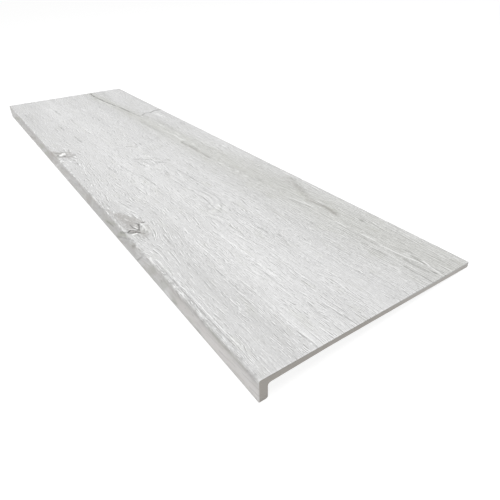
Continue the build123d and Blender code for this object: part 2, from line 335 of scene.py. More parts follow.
# The lip's patches and strokes, brushed as the knots are
LIP_DARK = [
    ([(-0.475, -0.178), (-0.450, -0.172), (-0.425, -0.167), (-0.400, -0.163)], 0.0045, 0.60),
    ([(-0.368, -0.186), (-0.345, -0.181), (-0.320, -0.177), (-0.300, -0.172), (-0.285, -0.168)],
     0.0030, 0.85),
    ([(-0.180, -0.182), (-0.160, -0.175), (-0.135, -0.166)], 0.0080, 0.45),
    ([(-0.108, -0.172), (-0.086, -0.165)], 0.0014, 0.60),
    ([(-0.126, -0.179), (-0.110, -0.175)], 0.0020, 0.40),
    ([(-0.076, -0.179), (-0.056, -0.171)], 0.0045, 0.40),
    ([(-0.022, -0.181), (0.000, -0.176), (0.018, -0.174)], 0.0030, 0.50),
    ([(0.018, -0.175), (0.035, -0.171), (0.057, -0.165)], 0.0030, 0.75),
    ([(0.090, -0.182), (0.103, -0.177), (0.111, -0.169), (0.119, -0.162)], 0.0055, 0.70),
    ([(0.124, -0.179), (0.150, -0.171), (0.170, -0.163)], 0.0012, 0.60),
    ([(0.150, -0.183), (0.174, -0.175), (0.188, -0.166)], 0.0016, 0.60),
    ([(0.186, -0.178), (0.200, -0.173), (0.216, -0.169), (0.234, -0.163)], 0.0024, 0.95),
    ([(0.226, -0.186), (0.240, -0.179), (0.255, -0.171), (0.268, -0.163)], 0.0014, 0.85),
    ([(0.252, -0.171), (0.262, -0.165), (0.275, -0.160)], 0.0026, 0.90),
    ([(0.266, -0.180), (0.280, -0.170), (0.292, -0.162)], 0.0015, 0.80),
    ([(0.296, -0.172), (0.303, -0.167), (0.311, -0.161)], 0.0028, 0.80),
    ([(0.310, -0.186), (0.322, -0.176), (0.335, -0.166)], 0.0013, 0.70),
    ([(0.298, -0.184), (0.310, -0.173)], 0.0012, 0.55),
    ([(0.352, -0.180), (0.365, -0.172), (0.375, -0.165)], 0.0050, 0.45),
    ([(0.394, -0.179), (0.404, -0.169), (0.410, -0.163)], 0.0055, 0.50),
    ([(0.420, -0.176), (0.445, -0.169)], 0.0060, 0.35),
    ([(0.484, -0.181), (0.499, -0.168)], 0.0065, 0.40),
    ([(0.100, -0.172), (0.300, -0.172)], 0.0100, 0.32),
    ([(-0.400, -0.172), (-0.300, -0.170)], 0.0090, 0.20),
    ([(0.512, -0.162), (0.531, -0.1645)], 0.0018, 0.60),
    ([(0.540, -0.165), (0.549, -0.1625)], 0.0016, 0.75),
    ([(0.563, -0.163), (0.581, -0.163)], 0.0016, 0.60),
    ([(0.587, -0.1635), (0.596, -0.164)], 0.0014, 0.55),
    ([(0.395, -0.160), (0.402, -0.1555)], 0.0018, 0.75),
    ([(0.418, -0.160), (0.424, -0.156)], 0.0016, 0.65),
    ([(0.455, -0.160), (0.462, -0.156)], 0.0016, 0.65),
]
LIP_INK = [
    ([(0.232, -0.185), (0.262, -0.172), (0.292, -0.160)], 0.0013, 0.32),
    ([(0.255, -0.167), (0.273, -0.158)], 0.0018, 0.38),
    ([(0.193, -0.176), (0.207, -0.173), (0.223, -0.171)], 0.0016, 0.36),
    ([(0.162, -0.163), (0.184, -0.159)], 0.0014, 0.22),
    ([(0.300, -0.168), (0.311, -0.161)], 0.0016, 0.28),
    ([(0.312, -0.184), (0.335, -0.166)], 0.0010, 0.22),
    ([(0.393, -0.1715)], 0.0013, 0.36),
    ([(0.4535, -0.161)], 0.0012, 0.36),
    ([(0.456, -0.1725)], 0.0011, 0.32),
    ([(0.4745, -0.1695)], 0.0013, 0.38),
    ([(0.418, -0.186), (0.431, -0.1825)], 0.0010, 0.26),
    ([(0.505, -0.173), (0.537, -0.170)], 0.0012, 0.12),
    ([(0.530, -0.179), (0.560, -0.175)], 0.0010, 0.16),
    ([(0.545, -0.185), (0.576, -0.182)], 0.0010, 0.12),
    ([(0.556, -0.170), (0.573, -0.168)], 0.0010, 0.14),
    ([(0.574, -0.173), (0.600, -0.170)], 0.0010, 0.18),
    ([(0.585, -0.181), (0.600, -0.179)], 0.0010, 0.18),
]
LIP_OLIVE = [
    ([(-0.540, -0.180), (-0.515, -0.176), (-0.490, -0.169), (-0.460, -0.163), (-0.430, -0.159)],
     0.0036, 0.80),
    ([(-0.250, -0.177), (-0.235, -0.173), (-0.218, -0.168), (-0.204, -0.165)], 0.0050, 0.75),
    ([(-0.216, -0.185), (-0.196, -0.179), (-0.180, -0.172), (-0.164, -0.167)], 0.0036, 0.80),
    ([(0.022, -0.182), (0.036, -0.179)], 0.0022, 0.50),
    ([(0.186, -0.178), (0.216, -0.169), (0.234, -0.163)], 0.0030, 0.80),
    ([(0.240, -0.179), (0.262, -0.165), (0.280, -0.160)], 0.0036, 0.90),
    ([(0.352, -0.180), (0.375, -0.165)], 0.0050, 0.45),
    ([(0.394, -0.179), (0.410, -0.163)], 0.0055, 0.45),
    ([(0.512, -0.162), (0.540, -0.165), (0.553, -0.1625), (0.578, -0.163)], 0.0020, 0.50),
    ([(0.423, -0.183), (0.433, -0.180)], 0.0028, 0.60),
    ([(0.462, -0.182), (0.476, -0.179)], 0.0028, 0.50),
]
LIP_WARM = [
    ([(-0.345, -0.183), (-0.318, -0.178), (-0.285, -0.170)], 0.0040, 0.90),
    ([(-0.300, -0.183), (-0.272, -0.172), (-0.255, -0.166)], 0.0055, 0.60),
    ([(-0.188, -0.183), (-0.160, -0.174), (-0.130, -0.163)], 0.0085, 0.80),
    ([(-0.120, -0.172), (-0.095, -0.168)], 0.0060, 0.60),
    ([(-0.050, -0.178), (-0.020, -0.169)], 0.0060, 0.50),
    ([(0.000, -0.168), (0.030, -0.164)], 0.0040, 0.40),
    ([(0.092, -0.181), (0.108, -0.174), (0.118, -0.163)], 0.0060, 0.60),
    ([(0.240, -0.186), (0.255, -0.183), (0.266, -0.177)], 0.0026, 0.70),
    ([(0.298, -0.170), (0.311, -0.161)], 0.0030, 0.80),
    ([(0.336, -0.182), (0.346, -0.176)], 0.0030, 0.80),
    ([(0.364, -0.178), (0.370, -0.172)], 0.0022, 0.50),
    ([(0.387, -0.176), (0.394, -0.170)], 0.0022, 0.60),
    ([(0.420, -0.175), (0.480, -0.170)], 0.0100, 0.40),
]
LIP_PINK = [
    ([(0.440, -0.176), (0.490, -0.174)], 0.0080, 0.50),
    ([(0.500, -0.178), (0.600, -0.176)], 0.0100, 0.95),
]
LIP_LIGHT = [
    ([(-0.590, -0.178), (-0.560, -0.170), (-0.520, -0.165)], 0.0080, 0.60),
    ([(-0.118, -0.184), (-0.102, -0.175), (-0.086, -0.170)], 0.0015, 0.60),
    ([(-0.095, -0.184), (-0.078, -0.172)], 0.0012, 0.40),
    ([(-0.078, -0.166), (-0.063, -0.1605), (-0.074, -0.156)], 0.0014, 0.60),
    ([(0.074, -0.180), (0.086, -0.172), (0.096, -0.165)], 0.0014, 0.45),
    ([(0.117, -0.180), (0.127, -0.169), (0.136, -0.161)], 0.0022, 0.55),
    ([(0.163, -0.180), (0.178, -0.172), (0.190, -0.167)], 0.0012, 0.45),
    ([(0.240, -0.185), (0.254, -0.177), (0.268, -0.169)], 0.0018, 0.50),
    ([(0.328, -0.170), (0.350, -0.160), (0.342, -0.155)], 0.0012, 0.60),
    ([(0.351, -0.168), (0.369, -0.160), (0.356, -0.155)], 0.0012, 0.65),
    ([(0.345, -0.178), (0.351, -0.173)], 0.0018, 0.55),
    ([(0.320, -0.172), (0.400, -0.172)], 0.0110, 0.16),
    ([(0.400, -0.178), (0.490, -0.177)], 0.0085, 0.85),
    ([(0.490, -0.178), (0.600, -0.177)], 0.0095, 0.80),
    ([(0.405, -0.158), (0.412, -0.164)], 0.0017, 0.90),
    ([(0.428, -0.159), (0.436, -0.165)], 0.0017, 0.90),
    ([(0.443, -0.158), (0.450, -0.163)], 0.0019, 0.90),
    ([(0.560, -0.1805), (0.586, -0.1765)], 0.0010, 0.50),
    ([(0.578, -0.179), (0.597, -0.173)], 0.0032, 0.75),
]

# Broad pale and dark areas of the tread, brushed too
TREAD_LIGHT = [
    ([(-0.080, -0.078), (0.157, -0.051), (0.305, -0.036)], 0.0070, 0.14),
    ([(0.470, 0.020), (0.600, 0.018)], 0.022, 0.20),
    ([(0.520, 0.060), (0.600, 0.058)], 0.016, 0.11),
    ([(-0.600, 0.142), (-0.330, 0.146)], 0.014, 0.20),
    ([(0.020, 0.142), (0.140, 0.142)], 0.016, 0.24),
    ([(0.470, 0.146), (0.600, 0.148)], 0.010, 0.20),
    ([(-0.600, -0.022), (-0.500, -0.022)], 0.018, 0.20),
    ([(-0.600, -0.140), (-0.480, -0.141)], 0.014, 0.25),
    ([(0.470, -0.142), (0.600, -0.142)], 0.012, 0.11),
    ([(0.010, -0.060), (0.140, -0.062)], 0.016, 0.11),
]
TREAD_DARK = [
    ([(0.020, -0.146), (0.150, -0.148)], 0.012, 0.13),
    ([(0.160, -0.148), (0.300, -0.148)], 0.012, 0.34),
    ([(0.310, -0.098), (0.600, -0.100)], 0.016, 0.12),
]

# What the mesh carries of the drawing: up to three sets of strokes to a field, and single marks in layers
BRUSHED_ON_MESH = {
    "wood_paint": (
        KNOT_SHADE + SEAM_SHADE,
        KNOT_INK + SEAM_INK + SWIRL_INK + LIP_INK,
        KNOT_WHITE + SEAM_WHITE + SWIRL_WHITE,
    ),
    "lip_tint": (LIP_OLIVE, LIP_WARM, LIP_PINK),
    "brushed_tone": (LIP_LIGHT + TREAD_LIGHT, LIP_DARK + TREAD_DARK),
}
DRAWN_ON_MESH = {"smears": SMEARS, "ink_strokes": INK_STROKES, "lime_strokes": LIME_STROKES}
MARK_REACH = 0.0035  # how far around a mark the mesh knows of it
MARK_GAP = (0.012, 0.0060)  # least gap along and across the grain between two marks of one layer
MARK_FRAY = (0.5, 0.9, 0.0)  # how far a mark's edge frays, in its half length and half width
BRUSH_EDGE = 1.5  # half widths from its path at which a brush stroke has faded out

# Relief pressed into the face, in metres
CHECK_DEPTH = 0.00035
CHECK_HALF_WIDTH = 0.0011
GRAIN_DEPTH = 0.00012
KNOT_DEPTH = 0.00030
BUMP_DISTANCE = 0.0002

# Streaks that the relief is made of: length along the grain, width across it, seed
PORES = (0.045, 0.0030, 1)
PORE_PATCHES = (0.16, 0.011, 2)
BROAD_SWELL = (0.30, 0.030, 3)
KNOT_CRUMBLE = (0.007, 0.004, 4)
STREAK_TABLE = 256
STREAK_START = 64

# Lines combed along the grain: spacing, length of a run, half thickness in spacings, and how much they cover
FINE_LINES = (0.0020, 0.010, 0.26, 0.09)
MID_LINES = (0.0042, 0.020, 0.20, 0.06)
BOLD_LINES = (0.0056, 0.045, 0.12, 0.04)
STAIN_LINES = (0.0034, 0.060, 0.17, 0.12)
CHATTER_LINES = (0.0060, 0.014, 0.18, 0.06)
CHATTER_TURN = radians(48)  # how far the chatter marks are turned from the grain

# Finishes, as linear colours
WASHED_OAK = (0.690, 0.690, 0.688, 1.0)
LIMED_GRAIN = (0.890, 0.890, 0.890, 1.0)
WEATHERED_GREY = (0.415, 0.413, 0.408, 1.0)
OLIVE_STAIN = (0.515, 0.520, 0.465, 1.0)
LIP_BROWN = (0.470, 0.432, 0.398, 1.0)
PINK_WASH = (0.810, 0.780, 0.762, 1.0)
DARK_CHECK = (0.060, 0.056, 0.050, 1.0)
LIME_FILL = (0.950, 0.950, 0.940, 1.0)
BARE_PORCELAIN = (0.570, 0.540, 0.505, 1.0)
PALE_PORCELAIN = (0.690, 0.665, 0.635, 1.0)
DARK_PORCELAIN = (0.400, 0.370, 0.330, 1.0)
KILN_WASH = (0.800, 0.790, 0.775, 1.0)

# Camera, as the photograph looks at the level tile
CAMERA_PLACE = (0.8209, -0.3129, 0.3134)
CAMERA_YAW = radians(56.23)
CAMERA_PITCH = radians(32.77)
CAMERA_ROLL = radians(-1.57)
CAMERA_LENS_MM = 31.76
SENSOR_MM = 36.0

# Floor and light
FLOOR_SIZE = 30.0
FLOOR_GLOW = 0.86
FLOOR_SEEN = (0.30, 0.30, 0.30, 1.0)  # the floor's own colour where it is seen
FLOOR_PALE = (0.80, 0.80, 0.80, 1.0)  # its colour where it throws light back
WHITE = (1.0, 1.0, 1.0, 1.0)
AMBIENT = 0.39
SOFTBOX_SIZE = 2.2
SOFTBOX_POWER = 38.0
SOFTBOX_PLACE = (0.1, -0.5, 2.0)
SOFTBOX_TILT = radians(-14)


def mount(name):
    """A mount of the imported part: its place and the way it faces."""
    found = next(m for m in frame["record"]["mounts"] if m["name"] == name)
    return Vector(found["pos_m"]), Vector(found["axis"]).normalized()


def where_it_lies():
    """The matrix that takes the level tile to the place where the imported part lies."""
    bed, down = mount("bed_face")
    rear_edge, back = mount("rear_edge")
    up = -down
    along = back.cross(up)
    middle = back * (rear_edge.dot(back) - REAR) + up * (bed.dot(up) + TREAD_THICKNESS)
    turn = Matrix((along, back, up)).transposed()
    return Matrix.Translation(middle) @ turn.to_4x4()


def new_verts(result):
    """The vertices that an operator has made."""
    return [part for part in result["geom"] if isinstance(part, bmesh.types.BMVert)]


def cut(bm, faces, point, normal):
    """Cuts the faces by a plane and gives the faces that they become."""
    parts = dict.fromkeys(faces)
    for face in faces:
        parts.update(dict.fromkeys([*face.edges, *face.verts]))
    result = bmesh.ops.bisect_plane(bm, geom=list(parts), dist=TINY, plane_co=point, plane_no=normal)
    return [part for part in result["geom"] if isinstance(part, bmesh.types.BMFace)]


def press_blank(bm):
    """The L section with its rounds, drawn at the left end and pressed to length."""
    lip_back = FRONT + LIP_THICKNESS
    corners_and_rounds = [
        ((FRONT, -LIP_DROP), 0.0),
        ((FRONT, 0.0), NOSING_RADIUS),
        ((REAR, 0.0), 0.0),
        ((REAR, -TREAD_THICKNESS), REAR_BACK_RADIUS),
        ((lip_back + HAUNCH_REACH, -TREAD_THICKNESS), HAUNCH_RADIUS),
        ((lip_back, -TREAD_THICKNESS - HAUNCH_DROP), THROAT_RADIUS),
        ((lip_back, -LIP_DROP), LIP_FOOT_RADIUS),
    ]
    places = [Vector((-LENGTH / 2, y, z)) for (y, z), _ in corners_and_rounds]
    corners = [bm.verts.new(place) for place in places]
    bm.faces.new(corners)
    for i, (corner, (_, radius)) in enumerate(zip(corners, corners_and_rounds)):
        if radius:
            turn = (places[i] - places[i - 1]).angle(places[(i + 1) % len(places)] - places[i])
            bmesh.ops.bevel(
                bm, geom=[corner], offset=radius * tan(turn / 2), segments=ROUND_SEGMENTS, profile=0.5,
                affect="VERTICES", material=-1,
            )
    far_end = bmesh.ops.extrude_face_region(bm, geom=bm.faces[:])
    bmesh.ops.translate(bm, vec=(LENGTH, 0, 0), verts=new_verts(far_end))
    bmesh.ops.recalc_face_normals(bm, faces=bm.faces[:])


def ease_arrises(bm):
    """Bevels the outlines of both ends, the toe of the lip and the upper arris of the rear edge."""

    def lies_at(edge, **place):
        return all(abs(getattr(v.co, axis) - at) < TINY for axis, at in place.items() for v in edge.verts)

    sharp = [
        edge for edge in bm.edges
        if lies_at(edge, x=-LENGTH / 2) or lies_at(edge, x=LENGTH / 2)
        or lies_at(edge, y=FRONT, z=-LIP_DROP) or lies_at(edge, y=REAR, z=0.0)
    ]
    bmesh.ops.bevel(
        bm, geom=sharp, offset=ARRIS_BEVEL, segments=ARRIS_SEGMENTS, profile=0.5,
        affect="EDGES", clamp_overlap=True, material=-1,
    )


def groove_middles():
    """The y of each keying groove, spread evenly between the haunch and the rear arris."""
    first, last = FRONT + LIP_THICKNESS + HAUNCH_REACH, REAR - REAR_BACK_RADIUS
    pitch = KEY_WIDTH + KEY_LAND
    count = int((last - first - 2 * KEY_MARGIN + KEY_LAND) // pitch)
    return [(first + last) / 2 + (i - (count - 1) / 2) * pitch for i in range(count)]


def key_the_back(bm):
    """Sinks the keying grooves into the back and rounds their corners."""
    back = [
        face for face in bm.faces
        if face.normal.z < FACES_DOWN and abs(face.calc_center_median().z + TREAD_THICKNESS) < TINY
    ]
    middles = groove_middles()
    for y in middles:
        for side in (-1, 1):
            back = cut(bm, back, (0, y + side * KEY_WIDTH / 2, 0), (0, 1, 0))
    grooves = [f for f in back if any(abs(f.calc_center_median().y - y) < KEY_WIDTH / 4 for y in middles)]
    for side in (-1, 1):
        grooves = cut(bm, grooves, (side * (LENGTH / 2 - KEY_MARGIN), 0, 0), (1, 0, 0))
    grooves = [f for f in grooves if abs(f.calc_center_median().x) < LENGTH / 4]
    sunk = new_verts(bmesh.ops.extrude_face_region(bm, geom=grooves))
    bmesh.ops.delete(bm, geom=grooves, context="FACES_ONLY")
    bmesh.ops.translate(bm, vec=(0, 0, KEY_DEPTH), verts=sunk)
    on_floor = set(sunk)
    corners = dict.fromkeys(e for v in sunk for e in v.link_edges if e.other_vert(v) not in on_floor)
    bmesh.ops.bevel(
        bm, geom=list(corners), offset=KEY_CORNER_RADIUS, segments=KEY_CORNER_SEGMENTS, profile=0.5,
        affect="EDGES", clamp_overlap=True, material=-1,
    )


def is_printed(face):
    """The tread, the nosing and the front of the lip carry the print, with the arrises around them."""
    middle, normal = face.calc_center_median(), face.normal
    on_tread = normal.z > FACES_OUT and middle.z > -NOSING_RADIUS
    on_lip = normal.y < -FACES_OUT and middle.y < FRONT + NOSING_RADIUS
    return on_tread or on_lip


def runs_along(edge, axis, least=0.0):
    """Whether the edge runs along this axis and is longer than the least length."""
    run = edge.verts[0].co - edge.verts[1].co
    return abs(run[axis]) > least and run.length - abs(run[axis]) < TINY


def divide_print(bm):
    """Divides the printed face finely enough to carry its relief."""
    printed = [face for face in bm.faces if is_printed(face)]
    plain_length = LENGTH - 2 * ARRIS_BEVEL
    for step in range(1, PRINT_STEPS_ALONG):
        x = plain_length * (step / PRINT_STEPS_ALONG - 0.5)
        crossing = [f for f in printed if min(v.co.x for v in f.verts) < x < max(v.co.x for v in f.verts)]
        crossed = set(crossing)
        printed = [f for f in printed if f not in crossed] + cut(bm, crossing, (x, 0, 0), (1, 0, 0))

    across = [
        e for e in bm.edges
        if runs_along(e, 1, WHOLE_RUN * DEPTH)
        and all(v.co.z > -ARRIS_BEVEL - TINY for v in e.verts)
    ]
    down = [
        e for e in bm.edges
        if runs_along(e, 2, WHOLE_RUN * LIP_DROP)
        and all(v.co.y < FRONT + ARRIS_BEVEL + TINY for v in e.verts)
    ]
    bmesh.ops.subdivide_edges(bm, edges=across, cuts=TREAD_STEPS_ACROSS - 1, use_grid_fill=True)
    bmesh.ops.subdivide_edges(bm, edges=down, cuts=LIP_STEPS_DOWN - 1, use_grid_fill=True)


def divide_again(bm):
    """Divides the print more finely where its marks are small."""
    for low, high, divisions in FINE_PATCHES:
        for axis, steps in enumerate(divisions):
            if steps == 1:
                continue
            edges = {}
            for face in filter(is_printed, bm.faces):
                u, y, z = face.calc_center_median()
                if low[0] < u < high[0] and low[1] < y + z < high[1]:
                    edges.update(dict.fromkeys(e for e in face.edges if runs_along(e, axis)))
            bmesh.ops.subdivide_edges(bm, edges=list(edges), cuts=steps - 1, use_grid_fill=True)


def along_path(points, at, softness=CORNER_SOFTNESS):
    """The value of a drawn path at each place, with soft corners."""
    places, values = zip(*points)
    shifts = softness * np.array((-1.5, -0.75, 0.0, 0.75, 1.5))
    return sum(np.interp(at + shift, places, values) for shift in shifts) / len(shifts)


def turn_over_nosing(y, z):
    """How far the printed face has turned down at each point: 0 on the tread, a right angle on the lip."""
    start = FRONT + NOSING_RADIUS
    return np.where(y >= start, 0.0, np.clip(np.arctan2(start - y, z + NOSING_RADIUS), 0, pi / 2))


def across_print(y, z):
    """v: y on the tread, running on over the nosing and down the lip."""
    start = FRONT + NOSING_RADIUS
    round_nosing = NOSING_RADIUS * turn_over_nosing(y, z)
    return np.where(y >= start, y, start - round_nosing - np.clip(-NOSING_RADIUS - z, 0, None))


def blob(u, v, middle, half):
    """A soft round patch, 1 in its middle and fading past its half widths."""
    return np.exp(-((u - middle[0]) / half[0]) ** 2 - ((v - middle[1]) / half[1]) ** 2)


def across_grain(u, v):
    """v as the grain sees it: lazy along the board, and spread apart where it flows round a knot."""
    grain = v + sum(height * np.sin(by_u * u + by_v * v + start) for height, by_u, by_v, start in GRAIN_WAVES)
    for middle, half in KNOTS.values():
        beside = blob(u, v, middle, np.multiply(KNOT_REACH, half))
        grain = grain - KNOT_SPREAD * (v - middle[1]) * beside
    return grain


def streaks(u, v, length, width, seed):
    """Smooth seeded noise from 0 to 1, drawn out along the grain."""
    table = np.random.default_rng(seed).random((STREAK_TABLE, STREAK_TABLE))

    def at(row, column):
        return table[row % STREAK_TABLE, column % STREAK_TABLE]

    a, b = u / length + STREAK_START, v / width + STREAK_START
    i, j = np.floor(a).astype(int), np.floor(b).astype(int)
    s, t = a - i, b - j
    s, t = s * s * (3 - 2 * s), t * t * (3 - 2 * t)
    near = at(i, j) * (1 - t) + at(i, j + 1) * t
    far = at(i + 1, j) * (1 - t) + at(i + 1, j + 1) * t
    return near * (1 - s) + far * s


def figure(u, v):
    """The fields of the wood figure at each point: distance from each line, its strength, and broad tones."""
    distances = np.stack([
        v - along_path(LONG_CHECK, u),
        v - along_path(LIMED_SEAM, u),
        u - along_path(BUTT_JOINT, v, BUTT_JOINT_SOFTNESS),
    ], axis=-1)
    strengths = np.stack([
        along_path(LONG_CHECK_STRENGTH, u),
        along_path(LIMED_SEAM_STRENGTH, u),
        along_path(BUTT_JOINT_STRENGTH, v, BUTT_JOINT_SOFTNESS),
    ], axis=-1)
    stain = np.exp(-(((v - along_path(STAIN_MIDDLE, u)) / along_path(STAIN_REACH, u)) ** 2))
    pale = np.exp(-(((v - along_path(PALE_STREAK_MIDDLE, u)) / PALE_STREAK_REACH) ** 2))
    pale = pale * along_path(PALE_STREAK_STRENGTH, u)
    shade = np.interp(v, (FRONT_SHADE_TO, FRONT_SHADE_FROM), (1.0, 0.0))
    ripple = sum(blob(u, v, middle, half) for middle, half in RIPPLES)
    return distances, strengths, np.stack([stain, pale - shade, ripple], axis=-1)


def lie_apart(mark, other):
    """Whether two marks lie further apart than the least gap, along the grain or across it."""
    gap = [abs(mark[0][axis] - other[0][axis]) - MARK_GAP[axis] for axis in (0, 1)]
    for _, (half_length, half_width), slope, _ in (mark, other):
        run, rise = abs(cos(radians(slope))), abs(sin(radians(slope)))
        gap[0] -= half_length * run + half_width * rise
        gap[1] -= half_length * rise + half_width * run
    return max(gap) > 0


def in_layers(drawn):
    """Shares the marks out so that no two in a layer lie near each other."""
    layers = []
    for mark in drawn:
        home = next((layer for layer in layers if all(lie_apart(mark, other) for other in layer)), None)
        if home is None:
            home = []
            layers.append(home)
        home.append(mark)
    return layers


def nearest_mark(u, v, layer):
    """Where each point lies in the mark nearest to it, in half lengths, and how strong that mark is."""
    best = np.full(u.shape, np.inf)
    field = np.zeros(u.shape + (3,))
    for (mark_u, mark_v), (half_length, half_width), slope, strength in layer:
        turn = radians(slope)
        along = (u - mark_u) * cos(turn) + (v - mark_v) * sin(turn)
        across = (v - mark_v) * cos(turn) - (u - mark_u) * sin(turn)
        off = np.hypot(np.clip(abs(along) - half_length, 0, None), np.clip(abs(across) - half_width, 0, None))
        shown = np.where(off < MARK_REACH, strength, 0.0)
        here = np.stack([along / half_length, across / half_width, shown], axis=-1)
        nearer = off < best
        field[nearer] = here[nearer]
        best[nearer] = off[nearer]
    return field


def off_path(u, v, path):
    """How far each point is from a path of straight runs, or from its one point."""
    nearest = np.full(u.shape, np.inf)
    for (start_u, start_v), (end_u, end_v) in zip(path, path[1:] or path):
        run_u, run_v = end_u - start_u, end_v - start_v
        share = ((u - start_u) * run_u + (v - start_v) * run_v) / max(run_u ** 2 + run_v ** 2, TINY ** 2)
        share = np.clip(share, 0, 1)
        nearest = np.minimum(nearest, np.hypot(u - start_u - share * run_u, v - start_v - share * run_v))
    return nearest


def brushed(u, v, strokes):
    """How strongly drawn strokes of a brush show at each point, with soft edges."""
    shown = np.zeros_like(u)
    for path, half_width, strength in strokes:
        inside = np.clip(BRUSH_EDGE - off_path(u, v, path) / half_width, 0, 1)
        shown = np.maximum(shown, strength * inside ** 2 * (3 - 2 * inside))
    return shown


def knot_shapes(u, v):
    """1 in the middle of each knot, fading out past its half widths."""
    return sum(blob(u, v, middle, half) for middle, half in KNOTS.values())


def pressed_grain(u, v):
    """How far the long pores of the wood are pressed in at each point, from 0 to 1."""
    grain = across_grain(u, v)
    return streaks(u, grain, *PORES) * streaks(u, grain, *PORE_PATCHES)


def relief(u, v):
    """How deep the face is pressed in at each point."""
    distances, strengths, _ = figure(u, v)
    sunk = CHECK_DEPTH * (strengths * np.exp(-((distances / CHECK_HALF_WIDTH) ** 2))).max(axis=-1)
    broad = streaks(u, across_grain(u, v), *BROAD_SWELL)
    dished = KNOT_DEPTH * knot_shapes(u, v) * (0.6 + 0.4 * streaks(u, v, *KNOT_CRUMBLE))
    return sunk + GRAIN_DEPTH * (pressed_grain(u, v) + 0.6 * broad) + dished


def vertex_places(mesh):
    """The places of the mesh's vertices, one to a row."""
    places = np.empty(len(mesh.vertices) * 3)
    mesh.vertices.foreach_get("co", places)
    return places.reshape(-1, 3)


def at_corners(mesh, name, width):
    """A value of the mesh's faces, given to each of their corners."""
    corners = np.empty(len(mesh.polygons), int)
    mesh.polygons.foreach_get("loop_total", corners)
    values = np.empty(len(mesh.polygons) * width)
    mesh.polygons.foreach_get(name, values)
    return np.repeat(values.reshape(-1, width), corners, axis=0)


def above_lands(x, y, z):
    """Whether each place lies above the lands of the back, within the field of the grooves."""
    return (z > -TREAD_THICKNESS + TINY) & (abs(x) < LENGTH / 2 - KEY_MARGIN + TINY) & (y < REAR - KEY_MARGIN)


def spread_walls(x, y, z, printed):
    """Where the back's corners lie on the map, with the grooves' floors drawn in to show their walls."""
    off_groove = y[:, None] - np.array(groove_middles())
    nearest = np.argmin(abs(off_groove), axis=1)
    from_groove = off_groove[np.arange(len(y)), nearest]
    sunk = above_lands(x, y, z) & (abs(from_groove) < KEY_WIDTH / 2 + TINY) & ~printed
    floor_x = x * (1 - MAP_WALL / (LENGTH / 2 - KEY_MARGIN))
    floor_y = y - from_groove * MAP_WALL / (KEY_WIDTH / 2)
    return np.where(sunk, floor_x, x), np.where(sunk, floor_y, y)


def lay_bake_map(mesh):
    """Lays the print, the back, the rear and the ends flat, each in its own strip of the bake map."""
    verts = np.empty(len(mesh.loops), int)
    mesh.loops.foreach_get("vertex_index", verts)
    x, y, z = vertex_places(mesh)[verts].T
    middle_x, middle_y, middle_z = at_corners(mesh, "center", 3).T
    printed = at_corners(mesh, "material_index", 1)[:, 0] == 0
    faces_way = np.argmax(abs(at_corners(mesh, "normal", 3)), axis=1)
    below_floors = middle_z < -TREAD_THICKNESS + KEY_DEPTH + TINY
    faces_way[above_lands(middle_x, middle_y, middle_z) & below_floors & ~printed] = 2
    back_x, back_y = spread_walls(x, y, z, printed)
    beside = np.where(middle_x < 0, 0.0, 0.5)
    v = across_print(y, z)
    shares = [  # where each corner lies along and up its own strip, from 0 to 1
        (x / LENGTH + 0.5, (v - v.min()) / (v.max() - v.min()), "print", printed),
        (back_x / LENGTH + 0.5, back_y / DEPTH + 0.5, "back", ~printed & (faces_way == 2)),
        (x / LENGTH + 0.5, z / LIP_DROP + 1.0, "rear", ~printed & (faces_way == 1)),
        (beside + MAP_END * (y / DEPTH + 0.5), z / LIP_DROP + 1.0, "ends", ~printed & (faces_way == 0)),
    ]
    spots = np.zeros((len(x), 2))
    for along, up, strip, here in shares:
        low, high = MAP_STRIPS[strip]
        spots[here, 0] = (MAP_EDGE + (1 - 2 * MAP_EDGE) * along)[here]
        spots[here, 1] = (low + (high - low) * up)[here]
    mesh.uv_layers.new(name="OFBake").uv.foreach_set("vector", spots.astype(np.float32).ravel())


def print_fields(u, v, turn):
    """What the washed-oak print needs to know at each point, under the names of the mesh's attributes."""
    level = np.zeros_like(u)
    distances, strengths, tones = figure(u, v)
    crispness = along_path(FINE_FIGURE, u) * along_path(FINE_ACROSS, v)
    fields = {
        "print_place": np.stack([u, v, level], axis=-1),
        "grain_place": np.stack([u, across_grain(u, v), level], axis=-1),
        "line_distance": distances,
        "line_strength": strengths,
        "broad_tone": tones,
        "pressed": np.stack([pressed_grain(u, v), turn / (pi / 2), knot_shapes(u, v)], axis=-1),
        "fineness": np.stack([crispness, along_path(COARSE_FIGURE, u), level], axis=-1),
    }
    for name, paints in BRUSHED_ON_MESH.items():
        fields[name] = np.zeros((len(u), 3))
        for part, strokes in enumerate(paints):
            fields[name][:, part] = brushed(u, v, strokes)
    for name, drawn in DRAWN_ON_MESH.items():
        for number, layer in enumerate(in_layers(drawn)):
            fields[f"{name}_{number}"] = nearest_mark(u, v, layer)
    return fields


def lay_print(mesh, printed):
    """Presses the relief into the printed points, and gives the mesh the print's coordinates and fields."""
    places = vertex_places(mesh)
    u = places[:, 0].copy()
    v = across_print(places[:, 1], places[:, 2])
    turn = turn_over_nosing(places[:, 1], places[:, 2])
    depth = np.where(printed, relief(u, v), 0.0)
    places[:, 1] += depth * np.sin(turn)
    places[:, 2] -= depth * np.cos(turn)
    mesh.vertices.foreach_set("co", places.ravel())
    fields = {"body_place": places, **print_fields(u, v, turn)}
    for name, field in fields.items():
        attribute = mesh.attributes.new(name, "FLOAT_VECTOR", "POINT")
        attribute.data.foreach_set("vector", field.astype(np.float32).ravel())


